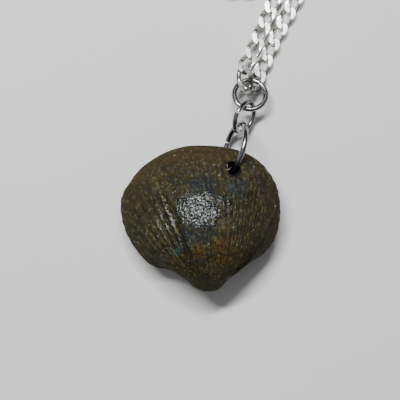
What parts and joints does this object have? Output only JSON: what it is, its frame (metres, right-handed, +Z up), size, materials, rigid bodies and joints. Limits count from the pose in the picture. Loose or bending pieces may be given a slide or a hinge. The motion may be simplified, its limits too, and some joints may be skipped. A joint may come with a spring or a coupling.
{
  "type": "drilled brachiopod fossil pendant on a chain",
  "caption": "Ribbed brachiopod fossil with a drilled hole, hung by three jump rings on a steel curb chain; rests on its belly.",
  "frame": {"origin": "middle of the small worn spot on the lower valve on which the fossil rests", "axes": "+Y from the beak towards the front margin and the chain, +X to the right seen from above, +Z up"},
  "size_m": [0.0355, 0.0801, 0.0125],
  "materials": {
    "fossil_stone": "satin",
    "ring_steel": "polished",
    "chain_steel": "polished"
  },
  "bodies": {
    "root": {"fossil": "fossil_stone", "shell_ring": "ring_steel", "link_ring": "ring_steel", "bail_ring": "ring_steel", "chain_loop": "chain_steel", "chain_left": "chain_steel", "chain_right": "chain_steel", "chain_coil": "chain_steel", "clasp_hook": "chain_steel", "clasp_ring": "chain_steel", "end_ring": "chain_steel"}
  },
  "joints": []
}
